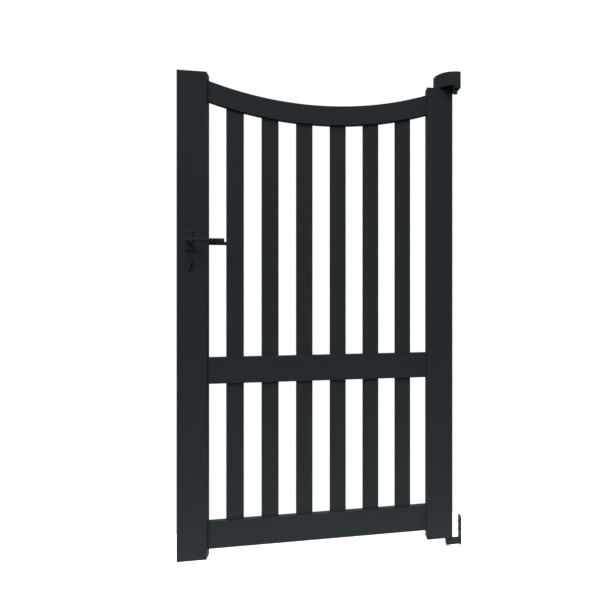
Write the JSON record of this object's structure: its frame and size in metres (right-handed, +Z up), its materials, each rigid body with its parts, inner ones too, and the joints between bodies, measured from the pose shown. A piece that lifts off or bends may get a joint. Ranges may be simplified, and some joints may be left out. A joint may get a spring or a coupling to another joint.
{
  "type": "garden gate",
  "caption": "Single-leaf slatted garden gate with a dipped bow top rail, lever handle, key lock and two pivot hinges for a pillar.",
  "frame": {"origin": "on the pillar's face, at the middle of the lower hinge's wall plate, level with the leaf's lower edge and in the leaf's middle plane", "axes": "+X out of the wall plates into the pillar, so the leaf lies towards -X; +Z up; -Y is the front, the side that the gate is seen from, and +Y the side that the leaf opens to"},
  "size_m": [0.954, 0.144, 1.686],
  "materials": {
    "leaf_paint": "fine-texture matt powder coat, anthracite grey",
    "hinge_paint": "satin powder coat on cast and folded metal, anthracite grey",
    "lever_paint": "satin powder coat on die-cast metal, anthracite grey",
    "blackened_metal": "blackened, slightly glossy",
    "zinc_steel": "zinc-plated steel",
    "mill_aluminium": "mill-finish extruded aluminium",
    "bush_brass": "turned brass"
  },
  "bodies": {
    "pillar_side": {"lower_hinge_bracket": "hinge_paint", "lower_pivot_pin": "zinc_steel", "thrust_collar": "blackened_metal", "lower_wall_screw_1": "zinc_steel", "lower_wall_screw_2": "zinc_steel", "upper_hinge_bracket": "hinge_paint", "upper_pivot_pin": "zinc_steel", "upper_hinge_cover": "hinge_paint", "cover_cap_nut": "blackened_metal", "upper_wall_screw_1": "zinc_steel", "upper_wall_screw_2": "zinc_steel"},
    "leaf": {"hinge_stile": "leaf_paint", "hinge_stile_top_cap": "leaf_paint", "hinge_stile_bottom_cap": "leaf_paint", "latch_stile": "leaf_paint", "latch_stile_top_cap": "leaf_paint", "latch_stile_bottom_cap": "leaf_paint", "upper_pivot_block": "mill_aluminium", "lower_pivot_block": "mill_aluminium", "upper_pivot_bush": "bush_brass", "lower_pivot_bush": "bush_brass", "bow_top_rail": "leaf_paint", "middle_rail": "leaf_paint", "bottom_rail": "leaf_paint", "bow_rail_cleat_latch_side": "mill_aluminium", "bow_rail_cleat_hinge_side": "mill_aluminium", "middle_rail_cleat_latch_side": "mill_aluminium", "middle_rail_cleat_hinge_side": "mill_aluminium", "bottom_rail_cleat_latch_side": "mill_aluminium", "bottom_rail_cleat_hinge_side": "mill_aluminium", "slat_1": "leaf_paint", "slat_2": "leaf_paint", "slat_3": "leaf_paint", "slat_4": "leaf_paint", "slat_5": "leaf_paint", "slat_6": "leaf_paint", "lock_faceplate": "zinc_steel", "lock_case": "zinc_steel", "latch_spring": "zinc_steel", "faceplate_screw_lower": "zinc_steel", "faceplate_screw_upper": "zinc_steel", "cylinder_fixing_screw": "zinc_steel", "cylinder_body": "blackened_metal", "front_rosette": "lever_paint", "back_rosette": "lever_paint"},
    "lever_set": {"front_lever": "lever_paint", "back_lever": "lever_paint", "spindle": "zinc_steel", "lock_follower": "zinc_steel", "front_lever_grub_screw": "zinc_steel", "back_lever_grub_screw": "zinc_steel"},
    "latch_slider": {"latch_bolt": "zinc_steel"},
    "bolt_slider": {"dead_bolt": "zinc_steel"},
    "front_key_side": {"front_plug": "blackened_metal", "cylinder_cam": "zinc_steel"},
    "back_key_side": {"back_plug": "blackened_metal"}
  },
  "joints": [
    {"name": "leaf_swing", "type": "hinge", "parent": "pillar_side", "child": "leaf", "pos_m": [-0.046, 0, 0], "axis": [0, 0, -1], "range_deg": [0, 95]},
    {"name": "lever_turn", "type": "hinge", "parent": "leaf", "child": "lever_set", "pos_m": [-0.914, 0, 1.045], "axis": [0, 1, 0], "range_deg": [0, 35], "stiffness_Nm_per_rad": 1.2, "springref_deg": -20.05},
    {"name": "latch_slide", "type": "slide", "parent": "leaf", "child": "latch_slider", "axis": [-1, 0, 0], "range_m": [0, 0.01], "stiffness_N_per_m": 60, "springref_m": -0.01},
    {"name": "front_key_turn", "type": "hinge", "parent": "leaf", "child": "front_key_side", "pos_m": [-0.914, 0, 0.975], "axis": [0, -1, 0], "range_deg": [0, 360]},
    {"name": "dead_bolt_slide", "type": "slide", "parent": "leaf", "child": "bolt_slider", "axis": [-1, 0, 0], "range_m": [0, 0.02]},
    {"name": "back_key_turn", "type": "hinge", "parent": "leaf", "child": "back_key_side", "pos_m": [-0.914, 0, 0.975], "axis": [0, -1, 0], "range_deg": [0, 360]}
  ],
  "couplings": [
    {"joint": "front_key_turn", "follows": "dead_bolt_slide", "rad_per_m": 314.15}
  ]
}
